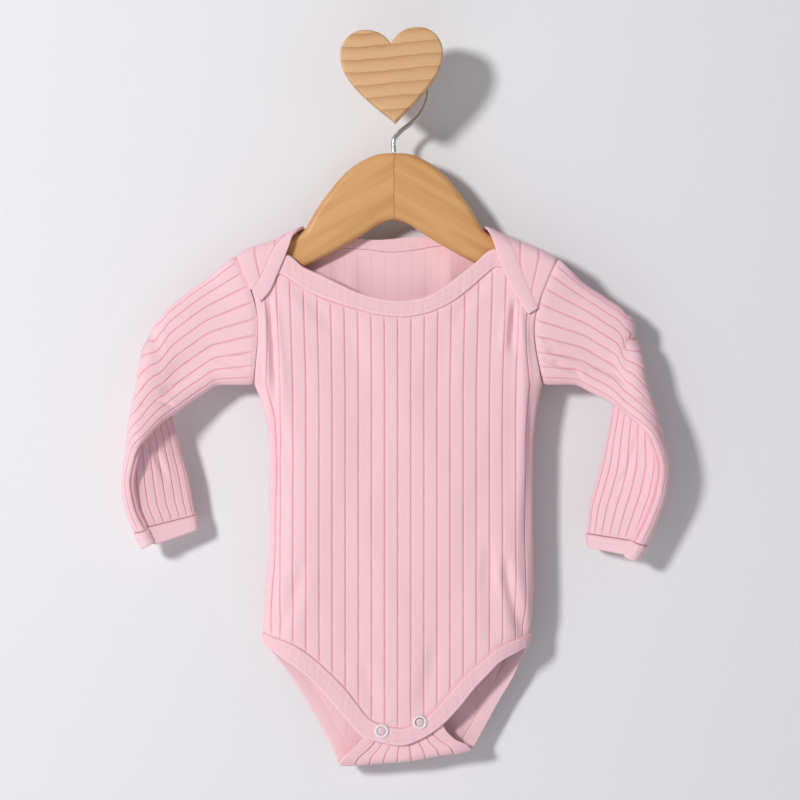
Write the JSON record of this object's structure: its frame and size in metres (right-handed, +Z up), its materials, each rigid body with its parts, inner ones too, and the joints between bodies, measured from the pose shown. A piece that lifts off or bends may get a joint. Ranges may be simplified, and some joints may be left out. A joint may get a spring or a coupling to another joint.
{
  "type": "baby onesie on a hanger and wall peg",
  "caption": "Long-sleeved baby bodysuit in wide-rib knit with lapped shoulders and a snap crotch, on a wooden hanger hooked over a heart-shaped wall peg.",
  "frame": {"origin": "centre of the peg's back face, on the wall", "axes": "+Z up, +Y into the wall, so the garment's front faces -Y; +X to the viewer's right"},
  "size_m": [0.3629, 0.052, 0.4876],
  "materials": {
    "rib_knit": "wide-rib cotton knit, pale pink, matt",
    "binding_knit": "smooth cotton binding, pale pink, matt",
    "snap_ring": "white enamel ring",
    "snap_centre": "pale pink centre",
    "hanger_wood": "satin varnished light wood",
    "hook_chrome": "polished wire",
    "peg_wood": "bare pine with level grain"
  },
  "bodies": {
    "root": {"front_body": "rib_knit", "back_body": "rib_knit", "sleeve_left": "rib_knit", "sleeve_right": "rib_knit", "neck_binding_front": "binding_knit", "neck_binding_back": "binding_knit", "leg_binding_front": "binding_knit", "leg_binding_back": "binding_knit", "cuff_left": "binding_knit", "cuff_right": "binding_knit", "snap_ring_left": "snap_ring", "snap_ring_right": "snap_ring", "snap_centre_left": "snap_centre", "snap_centre_right": "snap_centre", "hanger": "hanger_wood", "hanger_hook": "hook_chrome", "peg_dowel": "peg_wood", "peg_heart": "peg_wood"}
  },
  "joints": []
}
